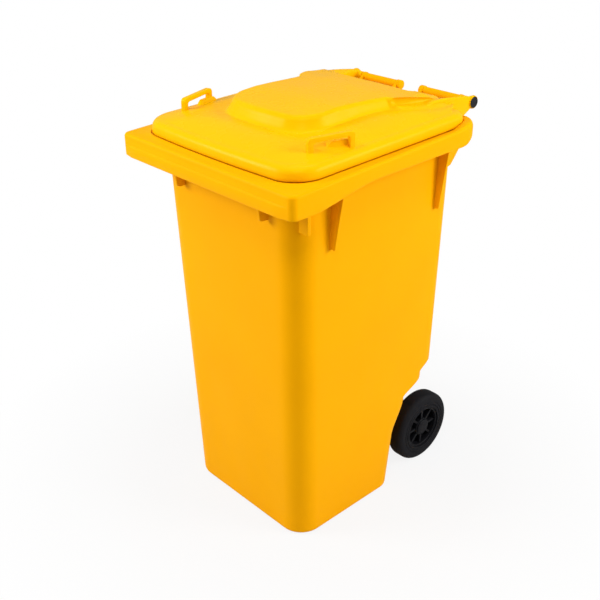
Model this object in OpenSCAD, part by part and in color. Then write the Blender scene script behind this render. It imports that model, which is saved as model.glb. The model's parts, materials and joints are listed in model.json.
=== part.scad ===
// Two wheeled refuse bin of 240 litres with a hinged lid, moulded in yellow plastic.
// Millimetres. The front faces -Y, the wheels and the hinge are at +Y, Z is up.
// The origin is the middle of the overall box, on the floor.
// Depths in the code below are measured back from the front lip, and shifted at the end.

/* [Overall] */
// Depth from the front lip to the back of the hinge eyes
overall_depth = 700; // [660:1:740]
// Width over the rim
rim_width = 580; // [560:1:600]
// Height of the outer edge of the rim at the front
rim_height = 960; // [930:1:980]
// Rise of the rim edge per millimetre of depth
rim_slope = 0.05; // [0:0.005:0.08]
// Height of the lid seat at the front
seat_height = 963; // [933:1:983]
// Rise of the lid seat per millimetre of depth
seat_slope = 0.034; // [0:0.002:0.06]

/* [Body] */
// Wall thickness
wall = 4; // [3:0.5:6]
// Floor thickness
floor_thickness = 6; // [4:0.5:8]
// Width of the body at the floor
foot_width = 424; // [400:1:450]
// Width of the body under the rim
neck_width = 466; // [440:1:500]
// Depth of the front wall at the floor
foot_front = 98; // [80:1:120]
// Depth of the front wall under the rim
neck_front = 66; // [50:1:80]
// Depth of the rear wall
rear_wall = 582; // [570:1:595]
// Corner radius of the front edges
front_corner = 62; // [40:1:80]
// Corner radius of the rear edges
rear_corner = 50; // [30:1:60]
// Rounding between the walls and the floor
foot_radius = 12; // [6:1:16]
// Height where the straight walls end
wall_top = 900; // [850:1:905]

/* [Wheel arch] */
// Height of the top of the foot apron
apron_top = 150; // [130:1:170]
// Height where the arch starts
arch_low = 262; // [250:1:275]
// Height where the arch ends
arch_high = 300; // [290:1:308]
// Height where the shelf above the arch starts
shelf_low = 316; // [310:1:325]
// Height where the shelf above the arch ends
shelf_high = 345; // [335:1:360]
// Step of the shelf
shelf_step = 32; // [20:1:40]
// Step of the arch
arch_step = 61; // [50:1:70]
// Step of the upper apron
apron_step = 38; // [30:1:45]
// Step of the lower apron
foot_step = 14; // [8:1:20]

/* [Rim] */
// Depth of the rim at the front
rim_front = 4; // [2:0.5:8]
// Depth of the rim at the rear
rim_rear = 598; // [590:1:606]
// Corner radius of the rim at the front
rim_corner = 38; // [25:1:50]
// Corner radius of the rim at the rear
rim_rear_corner = 66; // [50:1:70]
// Rounding of the upper edge of the rim
edge_round = 5; // [3:0.5:7]
// Thickness of the rim skirt
skirt_thickness = 4; // [3:0.5:6]
// Thickness of the rim ledge
ledge_thickness = 6; // [5:0.5:9]
// Height of the lower edge of the skirt at the front
skirt_low = 909; // [895:1:920]
// Lift of the lower edge of the skirt along the sides
skirt_lift = 30; // [20:1:36]
// Depth where the lower edge of the skirt starts to rise
skirt_start = 40; // [20:1:60]
// Depth where the lower edge of the skirt runs straight again
skirt_end = 260; // [220:1:300]
// Lift of the lower edge of the skirt at the rear
skirt_rear_lift = 16; // [8:1:20]
// Rise of the raised ears at the rear corners
ear_rise = 12; // [6:1:16]
// Depth where the ears start
ear_depth = 505; // [490:1:520]
// Distance from the middle where the ears start
ear_side = 215; // [205:1:225]
// Rounding of the upper edge of the ears
ear_round = 13; // [8:1:16]
// Height of the proud lip along the front
lip_height = 26; // [20:1:32]
// Width of the proud lip along the front
lip_width = 530; // [500:1:540]
// Height of the upstand inside the lid
upstand_height = 14; // [10:1:18]
// Gap between the upstand and the lid skirt
upstand_gap = 8; // [5:0.5:10]

/* [Gussets] */
// Thickness of the gussets
gusset_thickness = 6; // [4:0.5:8]
// Depth of the first side gusset
side_gusset_front = 169; // [130:1:180]
// Depth of the second side gusset
side_gusset_rear = 513; // [470:1:520]
// Height of the lower end of the side gussets
side_gusset_low = 786; // [770:1:820]
// Reach of the side gussets at the lower end
side_gusset_reach = 23; // [18:1:32]
// Reach of the side gussets under the rim
side_gusset_top_reach = 37; // [32:1:48]
// Distance of the front gussets from the middle
front_gusset_x = 143; // [120:1:170]
// Height of the lower end of the front gussets
front_gusset_low = 856; // [840:1:880]
// Reach of the front gussets
front_gusset_reach = 22; // [20:1:50]
// Height of the lower end of the rib under the right front corner
corner_rib_low = 842; // [830:1:880]
// Outer face of the corner rib
corner_rib_reach = 243; // [236:1:250]
// Thickness of the corner rib
corner_rib_thickness = 10; // [6:1:12]
// Distance of the rear gussets from the middle
rear_gusset_x = 207; // [205:0.5:209]
// Height of the lower end of the rear gussets
rear_gusset_low = 862; // [850:1:880]
// Reach of the rear gussets behind the wall
rear_gusset_reach = 47; // [36:1:52]

/* [Lid] */
// Width of the lid
lid_width = 526; // [510:1:536]
// Depth of the lid's front edge at the middle
lid_front = 32; // [26:1:40]
// Bow of the lid's front edge
lid_bow = 10; // [0:1:16]
// Depth of the lid's rear edge
lid_rear = 584; // [580:1:585]
// Corner radius at the front of the lid
lid_front_corner = 66; // [50:1:80]
// Corner radius at the rear of the lid
lid_rear_corner = 56; // [40:1:60]
// Thickness of the lid
lid_thickness = 4; // [3:0.5:5]
// Gap under the lid skirt
lid_gap = 1; // [0.5:0.1:2]
// Height of the lid shoulder above the seat
shoulder_height = 30; // [24:1:36]
// Height of the raised panel
panel_height = 1051; // [1040:1:1060]
// Height of the foot of the raised panel at the front
panel_foot = 1013; // [1008:1:1020]
// Rise of the foot of the raised panel along the sides
panel_foot_rise = 10; // [4:1:12]
// Width of the raised panel
panel_width = 284; // [260:1:310]
// Depth of the front of the raised panel at the middle
panel_front = 163; // [150:1:180]
// Bow of the front of the raised panel
panel_bow = 18; // [0:1:24]
// Depth of the rear of the raised panel
panel_rear = 530; // [515:1:535]
// Depth of the crease across the raised panel
panel_crease = 280; // [250:1:310]
// Drop of the raised panel in front of the crease
panel_drop = 8; // [4:1:14]
// Fall of the raised panel towards the hinge
panel_fall = 11; // [6:1:14]
// Run of the sloped sides of the raised panel
panel_run = 14; // [8:1:24]
// Corner radius at the front of the raised panel
panel_front_corner = 34; // [24:1:44]
// Corner radius at the rear of the raised panel
panel_rear_corner = 20; // [12:1:24]
// Depth where the raised panel starts to widen into the hinge arms
flare_start = 430; // [410:1:450]
// Widening of the raised panel on each side
flare_width = 48; // [30:1:52]
// Fall of the widened part towards its edge
flare_fall = 14; // [8:1:16]

/* [Lid handles] */
// Distance of the front of the handles from the middle
handle_x = 206; // [200:1:215]
// Depth of the front of the handles
handle_front = 122; // [115:1:130]
// Turn of the handles away from the middle, in degrees
handle_turn = 16.7; // [0:0.1:20]
// Width of the bar of the handles
handle_width = 12; // [10:1:16]
// Length of the handles
handle_length = 108; // [90:1:112]
// Height of the lid under the handles
handle_foot = 1001; // [996:1:1006]
// Height of the front of the handles above the lid
handle_rise = 32; // [24:1:36]
// Climb of the bar of the handles towards the rear
handle_climb = 3; // [0:1:6]
// Thickness of the bar of the handles
handle_bar = 10; // [8:1:14]
// Length of the legs of the handles
handle_leg = 12; // [10:1:16]
// Width of the mound beside the handles
mound_width = 19; // [14:1:24]
// Height of the mound beside the handles
mound_rise = 16; // [10:1:18]

/* [Hinge] */
// Height of the hinge axis
hinge_height = 1000; // [990:1:1010]
// Diameter of the hinge pins
pin_diameter = 12; // [10:0.5:14]
// Running clearance of the lid eyes on the pins, on the radius
pin_clearance = 0.08; // [0.02:0.01:0.1]
// Diameter of the pin heads
pin_head_diameter = 27; // [22:1:30]
// Height of the pin heads
pin_head_height = 4; // [3:0.5:8]
// Outer radius of the lid eyes
eye_radius = 17; // [15:0.5:22]
// Inner face of the lid arms
arm_inner = 165; // [160:1:170]
// Width of the lid arms
arm_width = 29; // [24:1:34]
// Thickness of the cheeks of the lid arms
arm_cheek = 5; // [4:0.5:7]
// Height of the upper edge of the lid arms on the inner side
arm_crest = 1030; // [1026:1:1036]
// Height of the upper edge of the lid arms on the outer side
arm_shoulder = 1027; // [1022:1:1030]
// Height of the lower edge of the lid arms inside the lid
arm_root = 1006; // [1004:1:1010]
// Height of the lowest point of the lid arms behind the rim
arm_belly = 966; // [962:1:975]

/* [Grips] */
// Diameter of the grips
grip_diameter = 20; // [18:0.5:26]
// Inner end of the grips
grip_inner = 32; // [25:1:45]
// Side gap between the grips and the lid arms
grip_gap = 1.5; // [0.5:0.1:3]
// Diameter of the flange at the inner end
grip_flange = 24; // [22:0.5:30]
// Width of the flange
grip_flange_width = 6; // [4:0.5:10]
// Thickness of the grip brackets
bracket_thickness = 8; // [6:0.5:10]
// Height where the brackets leave the rear wall
bracket_low = 850; // [820:1:880]

/* [Axle carrier] */
// Height of the axle above the floor
axle_height = 100; // [95:1:105]
// Depth of the axle
axle_depth = 586; // [576:1:590]
// Diameter of the axle
axle_diameter = 20; // [18:0.5:24]
// Outer face of the carriers
carrier_outer = 136; // [120:1:138]
// Width of each carrier
carrier_width = 58; // [40:1:70]
// Thickness of the carrier plates
carrier_plate = 7; // [5:0.5:10]
// Outer radius of the axle boss
carrier_boss = 24; // [20:1:28]

/* [Wheels] */
// Wheel radius
wheel_radius = 100; // [95:1:102]
// Outer face of the wheels
wheel_outer = 196; // [190:1:200]
// Width of the tyres
tyre_width = 50; // [44:1:54]
// Radius where the tyre meets the hub
tyre_seat = 61; // [58:1:70]
// Rounding of the tyre shoulders
tyre_round = 14; // [8:1:18]
// Thickness of the hub rim
hub_rim = 7; // [5:0.5:9]
// Thickness of the hub disc
hub_disc = 6; // [4:0.5:8]
// Number of spokes
spoke_count = 8; // [6:1:12]
// Thickness of the spokes
spoke_thickness = 6; // [4:0.5:8]
// Outer radius of the hub boss
boss_radius = 25; // [22:1:28]
// Outer radius of the bush
bush_radius = 14; // [13:0.5:16]
// Running clearance of the bush on the axle, on the radius
bush_clearance = 0.08; // [0.02:0.01:0.1]
// Thickness of the inner washer
washer_thickness = 3; // [2:0.5:4]
// Outer radius of the inner washer
washer_radius = 18; // [15:0.5:20]
// Thickness of the retaining clip
clip_thickness = 2; // [1:0.5:3]
// Outer radius of the retaining clip
clip_radius = 15; // [13:0.5:16]
// Outer radius of the hub cap
cap_radius = 22; // [20:0.5:24]

/* [Hidden] */
$fn = 64;
corner_steps = 6;
side_steps = 9;
end_steps = 10;
overlap = 2;
side_gap = 0.6;
hinge_depth = overall_depth - eye_radius;
arm_outer = arm_inner + arm_width;
arm_start = lid_rear - 79;
arm_step = rim_rear + 5;
arm_deep = rim_rear + 30;
arm_end = hinge_depth - 6;
arm_end_half = eye_radius - 3;
grip_outer = arm_inner - grip_gap;
yellow = [1, 0.72, 0.02];
lid_yellow = [1, 0.78, 0.06];
black = [0.06, 0.06, 0.07];
charcoal = [0.13, 0.13, 0.14];
steel = [0.62, 0.63, 0.65];
ivory = [0.8, 0.79, 0.74];

function mix(a, b, t) = a + (b - a) * t;
function ease(t) = let (c = max(0, min(1, t))) c * c * (3 - 2 * c);
function ramp(t) = max(0, min(1, t));

// Plan outlines: rounded rectangles walked round from the front right corner
function arc(cx, cy, r, start) =
    [for (i = [0 : corner_steps]) let (a = start + 90 * i / corner_steps) [cx + r * cos(a), cy + r * sin(a)]];
function between(p, q, n) = [for (i = [1 : n - 1]) mix(p, q, i / n)];
function outline(w, f, b, rf, rr) = let (
        n = corner_steps,
        fr = arc(w - rf, f + rf, rf, -90),
        br = arc(w - rr, b - rr, rr, 0),
        bl = arc(rr - w, b - rr, rr, 90),
        fl = arc(rf - w, f + rf, rf, 180)
    ) concat(
        fr, between(fr[n], br[0], side_steps), br, between(br[n], bl[0], end_steps),
        bl, between(bl[n], fl[0], side_steps), fl, between(fl[n], fr[0], end_steps)
    );
function lift(plan, height) = [for (p = plan) [p[0], p[1], height(p)]];
function middle(ring) = [for (k = [0 : 2]) [for (p = ring) p[k]] * [for (p = ring) 1] / len(ring)];

// Heights of the rim, by plan position
function ear(p) = ease((p[1] - ear_depth) / 50) * ease((abs(p[0]) - ear_side) / 30);
function edge_z(p) = rim_height + rim_slope * p[1] + ear_rise * ear(p);
function edge_drop(p) = mix(edge_round, ear_round, ear(p));
function seat_z(p) = seat_height + seat_slope * p[1];
function ledge_z(p) = seat_z(p) - ledge_thickness;
function skirt_z(p) = skirt_low + skirt_lift * ease((p[1] - skirt_start) / (skirt_end - skirt_start))
    + 0.02 * max(0, p[1] - skirt_end) + skirt_rear_lift * ease((p[1] - rim_rear + 68) / 50);

// Body walls, by height
function half_at(z) = mix(foot_width, neck_width, z / wall_top) / 2;
function front_at(z) = mix(foot_front, neck_front, z / wall_top);
function rear_at(z) = rear_wall
    - shelf_step * ease((shelf_high - z) / (shelf_high - shelf_low))
    - arch_step * ease((arch_high - z) / (arch_high - arch_low))
    - apron_step * ease((arch_low - z) / (arch_low - apron_top))
    - foot_step * ramp((apron_top - z) / apron_top);
wall_levels = concat(
    [foot_radius, apron_top],
    [for (i = [1 : 3]) mix(apron_top, arch_low, i / 3)],
    [for (i = [1 : 4]) mix(arch_low, arch_high, i / 4)],
    [for (i = [0 : 4]) mix(shelf_low, shelf_high, i / 4)],
    [wall_top]
);
function wall_plan(z, inset) = outline(
    half_at(z) - inset, front_at(z) + inset, rear_at(z) - inset, front_corner - inset, rear_corner - inset);
function wall_ring(z, inset, up) = lift(wall_plan(z, inset), function(p) z + up);
function rim_plan(inset) = outline(
    rim_width / 2 - inset, rim_front + inset, rim_rear - inset,
    max(4, rim_corner - inset), max(4, rim_rear_corner - inset));
function neck_ring(inset, drop) = lift(wall_plan(wall_top, inset), function(p) ledge_z(p) - drop);

// Lid plans
function lid_plan(inset) = [for (p = outline(
        lid_width / 2 - inset, lid_front + lid_bow + inset, lid_rear - inset,
        lid_front_corner - inset / 2, lid_rear_corner - inset / 2))
    [p[0], p[1] - lid_bow * (1 - pow(2 * p[0] / lid_width, 2)) * ease((300 - p[1]) / 200)]];
function flare(p) = pow(ramp((p[1] - flare_start) / 120), 0.8);
function panel_plan(grow) = [for (p = outline(
        panel_width / 2 + grow, panel_front + panel_bow - 1.4 * grow, panel_rear + grow,
        max(6, panel_front_corner + grow), max(6, panel_rear_corner + grow)))
    [p[0] * (1 + 2 * flare_width / panel_width * flare(p)),
        p[1] - panel_bow * (1 - pow(2 * p[0] / panel_width, 2)) * ease((300 - p[1]) / 120)]];
function panel_z(p) = panel_height
    - panel_drop * ramp((panel_crease - p[1]) / 100)
    - panel_fall * (0.3 * ramp((p[1] - 330) / 110) + 0.7 * ease((p[1] - 440) / 90))
    - flare_fall * ease((abs(p[0]) - panel_width / 2 - 8) / 44);
function foot_z(p) = panel_foot + panel_foot_rise * ramp((p[1] - panel_front) / 250)
    - 0.7 * panel_foot_rise * ease((p[1] - 440) / 100);

// Closed skin through a list of rings, capped at both ends
module loft(rings) {
    n = len(rings[0]);
    k = len(rings);
    points = concat([for (r = rings) each r], [middle(rings[0]), middle(rings[k - 1])]);
    sides = [for (j = [0 : k - 2], i = [0 : n - 1]) let (a = j * n + i, b = j * n + (i + 1) % n)
        each [[a, b + n, b], [a, a + n, b + n]]];
    low = [for (i = [0 : n - 1]) [k * n, i, (i + 1) % n]];
    high = [for (i = [0 : n - 1]) [k * n + 1, (k - 1) * n + (i + 1) % n, (k - 1) * n + i]];
    polyhedron(points, concat(sides, low, high));
}

// Plates standing across X or across Y, and cylinders along X
module plate_x(x, t) translate([x, 0, 0]) rotate([90, 0, 90]) linear_extrude(t) children();
module plate_y(y, t) translate([0, y + t / 2, 0]) rotate([90, 0, 0]) linear_extrude(t) children();
module rod_x(x0, x1, r, y, z) translate([x0, y, z]) rotate([0, 90, 0]) cylinder(h = x1 - x0, r = r);
module both_sides() {
    children();
    mirror([1, 0, 0]) children();
}
module to_middle() translate([0, -overall_depth / 2, 0]) children();

module body_shell() loft(concat(
    [lift(wall_plan(foot_radius, foot_radius), function(p) 0)],
    [lift(wall_plan(foot_radius, foot_radius * 0.3), function(p) foot_radius * 0.3)],
    [for (z = wall_levels) wall_ring(z, 0, 0)],
    [neck_ring(0, 0)],
    [lift(rim_plan(skirt_thickness), function(p) ledge_z(p))],
    [lift(rim_plan(skirt_thickness), function(p) skirt_z(p))],
    [lift(rim_plan(0), function(p) skirt_z(p))],
    [lift(rim_plan(0), function(p) edge_z(p) - edge_drop(p))],
    [lift(rim_plan(edge_round * 0.3), function(p) edge_z(p) - 0.4 * edge_drop(p))],
    [lift(rim_plan(edge_round), function(p) edge_z(p) - 0.1 * edge_drop(p))],
    [lift(rim_plan(11), function(p) edge_z(p) - 0.5)],
    [lift(lid_plan(-2), function(p) seat_z(p))],
    [lift(lid_plan(lid_thickness + upstand_gap), function(p) seat_z(p))],
    [lift(lid_plan(lid_thickness + upstand_gap), function(p) seat_z(p) + upstand_height)],
    [lift(lid_plan(lid_thickness + upstand_gap + wall), function(p) seat_z(p) + upstand_height)],
    [lift(lid_plan(lid_thickness + upstand_gap + wall), function(p) seat_z(p) + wall)],
    [neck_ring(wall, -wall)],
    [for (i = [0 : len(wall_levels) - 1]) let (z = wall_levels[len(wall_levels) - 1 - i])
        wall_ring(z, wall, wall)],
    [lift(wall_plan(foot_radius, foot_radius), function(p) floor_thickness)]
));

module side_gusset(y) let (
    top = ledge_z([0, y]) + overlap, low = side_gusset_low, x0 = half_at(low) - overlap,
    x1 = half_at(wall_top) - overlap)
    plate_y(y, gusset_thickness) polygon([
        [x0, low], [half_at(low) + side_gusset_reach, low],
        [half_at(wall_top) + side_gusset_top_reach, skirt_z([0, y])],
        [half_at(wall_top) + side_gusset_top_reach, top], [x1, top]
    ]);

module front_gusset() let (
    top = ledge_z([0, neck_front]) + overlap, y0 = front_at(wall_top) + overlap, low = front_gusset_low,
    tip = front_at(wall_top) - front_gusset_reach)
    plate_x(front_gusset_x - gusset_thickness / 2, gusset_thickness) polygon([
        [y0, low], [tip + 10, low], [tip + 3, low + 3], [tip, low + 10], [tip - 10, top], [y0, top]
    ]);

module corner_rib() let (
    r = front_corner - 2.5, cx = half_at(wall_top) - front_corner, cy = front_at(wall_top) + front_corner,
    y0 = cy - r * sin(41), y1 = y0 + corner_rib_thickness, end = asin((cy - y1) / r),
    top = ledge_z([0, y0]) + overlap)
    translate([0, 0, corner_rib_low]) linear_extrude(top - corner_rib_low) polygon(concat(
        [for (i = [0 : 3]) let (a = mix(end, 41, i / 3)) [cx + r * cos(a), cy - r * sin(a)]],
        [[corner_rib_reach, y0], [corner_rib_reach, y1]]
    ));

module rear_gusset() let (y = rear_wall - 9, z = rear_gusset_low, reach = rear_gusset_reach)
    plate_x(rear_gusset_x - gusset_thickness / 2, gusset_thickness) polygon([
        [y, z], [rear_wall + 0.26 * reach, z + 6], [rear_wall + 0.53 * reach, z + 21],
        [rear_wall + 0.83 * reach, z + 39], [rear_wall + reach, z + 60], [rear_wall + reach, z + 82],
        [rim_rear + overlap, skirt_z([0, rim_rear]) + 3], [y, ledge_z([0, y]) + overlap]
    ]);

module grip() union() {
    rod_x(grip_inner, grip_outer, grip_diameter / 2, hinge_depth, hinge_height);
    rod_x(grip_inner, grip_inner + grip_flange_width + 1, grip_flange / 2, hinge_depth, hinge_height);
    for (x = [grip_inner + grip_flange_width, grip_outer - bracket_thickness - 1])
        plate_x(x, bracket_thickness) {
            polygon([
                [rear_wall - overlap, bracket_low], [rear_wall + 28, bracket_low + 40],
                [hinge_depth + 6, hinge_height - grip_diameter / 2 + 2],
                [hinge_depth - grip_diameter / 2 + 1, hinge_height + 5],
                [rim_rear - 6, ledge_z([0, rim_rear]) + 1], [rear_wall - overlap, ledge_z([0, rear_wall]) - 4]
            ]);
            translate([hinge_depth, hinge_height]) circle(grip_diameter / 2 + 2);
        }
}

module carrier() let (
    x0 = carrier_outer - carrier_width, top = shelf_high - 2, low = axle_height - carrier_boss,
    back = axle_depth + carrier_boss, skin = carrier_plate - 1,
    inside = [for (i = [0 : 12]) let (z = mix(60, top, i / 12)) [rear_at(z) - overlap, z]],
    edge = [[rear_wall + 4, top - 30], [back, axle_height + 70], [back, axle_height], [axle_depth, low]])
    union() {
        for (x = [x0, carrier_outer - carrier_plate])
            plate_x(x, carrier_plate) {
                polygon(concat(inside, edge));
                translate([axle_depth, axle_height]) circle(carrier_boss);
            }
        plate_x(x0 + 1, carrier_width - 2) polygon([
            [rear_wall - overlap, top - 2], [rear_wall + 3, top - 30], [back - 1, axle_height + 69],
            [back - 1, axle_height + 4], [back - skin, axle_height + 4], [back - skin, axle_height + 67],
            [rear_wall - overlap, top - 34]
        ]);
        rod_x(x0 + 1, carrier_outer - 1, carrier_boss - 1, axle_depth, axle_height);
    }

module bin_body() color(yellow) to_middle() difference() {
    union() {
        body_shell();
        translate([0, 0, skirt_low + 0.4]) linear_extrude(lip_height) polygon([
            [-lip_width / 2, rim_front + 2], [-lip_width / 2 + 4, 0],
            [lip_width / 2 - 4, 0], [lip_width / 2, rim_front + 2]
        ]);
        corner_rib();
        both_sides() {
            side_gusset(side_gusset_front);
            side_gusset(side_gusset_rear);
            front_gusset();
            rear_gusset();
            grip();
            carrier();
        }
    }
    both_sides() {
        rod_x(grip_inner - 1, grip_outer + 1, pin_diameter / 2, hinge_depth, hinge_height);
        rod_x(carrier_outer - carrier_width - 1, carrier_outer + 1, axle_diameter / 2,
            axle_depth, axle_height);
    }
}

module lid_shell() let (t = lid_thickness, top = shoulder_height) loft(concat(
    [for (grow = [-90, -50]) lift(panel_plan(grow), function(p) panel_z(p) - t)],
    [lift(panel_plan(-t - 2), function(p) panel_z(p) - t - 1)],
    [lift(panel_plan(panel_run - t), function(p) foot_z(p) - t)],
    [lift(lid_plan(24), function(p) seat_z(p) + top - t)],
    [lift(lid_plan(11), function(p) seat_z(p) + top - t - 5)],
    [lift(lid_plan(6), function(p) seat_z(p) + top - t - 11)],
    [lift(lid_plan(t), function(p) seat_z(p) + lid_gap)],
    [lift(lid_plan(0), function(p) seat_z(p) + lid_gap)],
    [lift(lid_plan(1), function(p) seat_z(p) + top - 15)],
    [lift(lid_plan(3.5), function(p) seat_z(p) + top - 8)],
    [lift(lid_plan(10), function(p) seat_z(p) + top - 3)],
    [lift(lid_plan(22), function(p) seat_z(p) + top)],
    [lift(panel_plan(panel_run), function(p) foot_z(p))],
    [lift(panel_plan(2), function(p) panel_z(p) - 4)],
    [for (grow = [-4, -50, -90]) lift(panel_plan(grow), function(p) panel_z(p))]
));

module lid_handle() let (
    z = handle_foot, top = z + handle_rise, end = top + handle_climb, l = handle_length, sink = 5,
    w = handle_width, leg = handle_leg, h = mound_rise)
    translate([handle_x, handle_front, 0]) rotate([0, 0, -handle_turn]) {
        plate_x(-w / 2, w) difference() {
            polygon([
                [0, z - sink], [0, top - 8], [3, top - 2], [9, top], [l - 9, end], [l - 3, end - 3],
                [l, end - 10], [l, z - sink]
            ]);
            polygon([
                [leg, z + 1], [l - leg, z + 1], [l - leg, end - handle_bar - 4], [l - leg - 4, end - handle_bar],
                [leg + 4, top - handle_bar], [leg, top - handle_bar - 4]
            ]);
        }
        plate_x(1 - w / 2 - mound_width, mound_width) polygon([
            [0.38 * l, z - sink], [0.48 * l, z + h - 5], [0.56 * l, z + h], [l - 8, z + h],
            [l + 2, z + h - 5], [l + 7, z - sink]
        ]);
    }

// Lower edge of a hinge arm, and its upper edge on the inner and the outer side
function arm_low(y) = y <= arm_step
    ? arm_root - 6 * ramp((y - arm_start) / (lid_rear - arm_start))
        - 9 * ramp((y - lid_rear) / (arm_step - lid_rear))
    : y <= arm_deep
    ? mix(arm_root - 15, arm_belly, pow((y - arm_step) / (arm_deep - arm_step), 0.45))
    : mix(arm_belly, hinge_height - arm_end_half, pow((y - arm_deep) / (arm_end - arm_deep), 1.5));
function arm_in(y) = y <= arm_start + 52
    ? arm_crest - 8 * (1 - ramp((y - arm_start) / 52))
    : mix(arm_crest, hinge_height + arm_end_half,
        pow((y - arm_start - 52) / (arm_end - arm_start - 52), 2));
function arm_out(y) = y <= lid_rear
    ? arm_shoulder - 6 * (1 - ramp((y - arm_start) / 25))
    : mix(arm_shoulder, hinge_height + arm_end_half, pow((y - lid_rear) / (arm_end - lid_rear), 2));
function arm_ring(y, x0, x1, drop, cut) = [
    [x0, y, arm_low(y) - cut], [x0, y, arm_in(y) - drop],
    [x1, y, arm_out(y) - drop], [x1, y, arm_low(y) - cut]
];

module lid_arm() {
    difference() {
        loft([for (y = [
            arm_start, arm_start + 25, arm_start + 52, lid_rear, arm_step, arm_step + 8, arm_deep,
            arm_deep + 22, arm_end
        ]) arm_ring(y, arm_inner, arm_outer, 0, 0)]);
        loft([for (y = [arm_step + 1, arm_step + 9, arm_deep, arm_deep + 20])
            arm_ring(y, arm_inner + arm_cheek, arm_outer - arm_cheek, arm_cheek, 30)]);
    }
    rod_x(arm_inner, arm_outer, eye_radius, hinge_depth, hinge_height);
}

module lid() color(lid_yellow) to_middle() difference() {
    union() {
        lid_shell();
        both_sides() {
            lid_handle();
            lid_arm();
        }
    }
    both_sides() rod_x(arm_inner - 1, arm_outer + 1, pin_diameter / 2 + pin_clearance,
        hinge_depth, hinge_height);
}

module hinge_pin() color(black) to_middle() {
    rod_x(grip_inner + 50, arm_outer + side_gap, pin_diameter / 2, hinge_depth, hinge_height);
    rod_x(arm_outer + side_gap, arm_outer + side_gap + pin_head_height, pin_head_diameter / 2,
        hinge_depth, hinge_height);
}
module hinge_pin_right() hinge_pin();
module hinge_pin_left() mirror([1, 0, 0]) hinge_pin();

boss_inner = carrier_outer + washer_thickness + side_gap;
boss_outer = wheel_outer - 6;
pocket_floor = boss_outer - 7;
axle_end = boss_outer - 2;
wheel_inner = wheel_outer - tyre_width;

module on_axle() translate([0, axle_depth - overall_depth / 2, axle_height]) rotate([0, 90, 0]) children();

module axle() color(steel) on_axle() cylinder(h = 2 * axle_end, r = axle_diameter / 2, center = true);

module washer() color(steel) on_axle() rotate_extrude()
    translate([axle_diameter / 2, carrier_outer])
        square([washer_radius - axle_diameter / 2, washer_thickness]);
module washer_right() washer();
module washer_left() mirror([1, 0, 0]) washer();

module clip() color(steel) on_axle() rotate_extrude()
    translate([axle_diameter / 2, pocket_floor + side_gap])
        square([clip_radius - axle_diameter / 2, clip_thickness]);
module clip_right() clip();
module clip_left() mirror([1, 0, 0]) clip();

module bush() color(ivory) on_axle() rotate_extrude()
    translate([axle_diameter / 2 + bush_clearance, boss_inner])
        square([bush_radius - axle_diameter / 2 - bush_clearance, pocket_floor - boss_inner]);
module bush_right() bush();
module bush_left() mirror([1, 0, 0]) bush();

module hub() color(charcoal) on_axle() {
    rotate_extrude() {
        translate([tyre_seat - hub_rim, wheel_inner + 4]) square([hub_rim, tyre_width - 8]);
        translate([bush_radius, (wheel_inner + wheel_outer - hub_disc) / 2])
            square([tyre_seat - hub_rim - bush_radius + 1, hub_disc]);
        difference() {
            translate([bush_radius, boss_inner]) square([boss_radius - bush_radius, boss_outer - boss_inner]);
            translate([bush_radius - 1, pocket_floor]) square([cap_radius - 4 - bush_radius + 1, 20]);
        }
    }
    for (i = [0 : spoke_count - 1]) rotate([0, 0, 360 * i / spoke_count])
        translate([boss_radius - 2, -spoke_thickness / 2, wheel_inner + 8])
            cube([tyre_seat - hub_rim - boss_radius + 4, spoke_thickness, tyre_width - 17]);
}
module hub_right() hub();
module hub_left() mirror([1, 0, 0]) hub();

module tyre() color(black) on_axle() rotate_extrude() difference() {
    union() {
        translate([tyre_seat, wheel_inner]) square([wheel_radius - tyre_round - tyre_seat, tyre_width]);
        translate([tyre_seat, wheel_inner + tyre_round])
            square([wheel_radius - tyre_seat, tyre_width - 2 * tyre_round]);
        for (x = [wheel_inner + tyre_round, wheel_outer - tyre_round])
            translate([wheel_radius - tyre_round, x]) circle(tyre_round);
    }
    for (r = [tyre_seat + 7, tyre_seat + 15], x = [wheel_inner, wheel_outer])
        translate([r - 1, x - 1]) square([2, 2]);
}
module tyre_right() tyre();
module tyre_left() mirror([1, 0, 0]) tyre();

module cap() color(black) on_axle() rotate_extrude() {
    translate([0, boss_outer]) square([cap_radius, 3]);
    translate([0, boss_outer + 3]) square([cap_radius - 3, 1.5]);
    translate([clip_radius + 1, pocket_floor + 2])
        square([cap_radius - 5 - clip_radius, boss_outer - pocket_floor - 2]);
}
module cap_right() cap();
module cap_left() mirror([1, 0, 0]) cap();

bin_body();
lid();
hinge_pin_left();
hinge_pin_right();
axle();
washer_left();
washer_right();
clip_left();
clip_right();
hub_left();
hub_right();
bush_left();
bush_right();
tyre_left();
tyre_right();
cap_left();
cap_right();
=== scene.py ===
"""Looks of a two wheeled refuse bin: moulded body, hinged lid, wheels, axle and a plain studio."""

import json
import logging
import math
from dataclasses import dataclass, field
from enum import Enum
from functools import partial
from typing import Any, Callable, Iterable, Sequence

import bmesh
import bpy
from mathutils import Matrix, Vector

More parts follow.
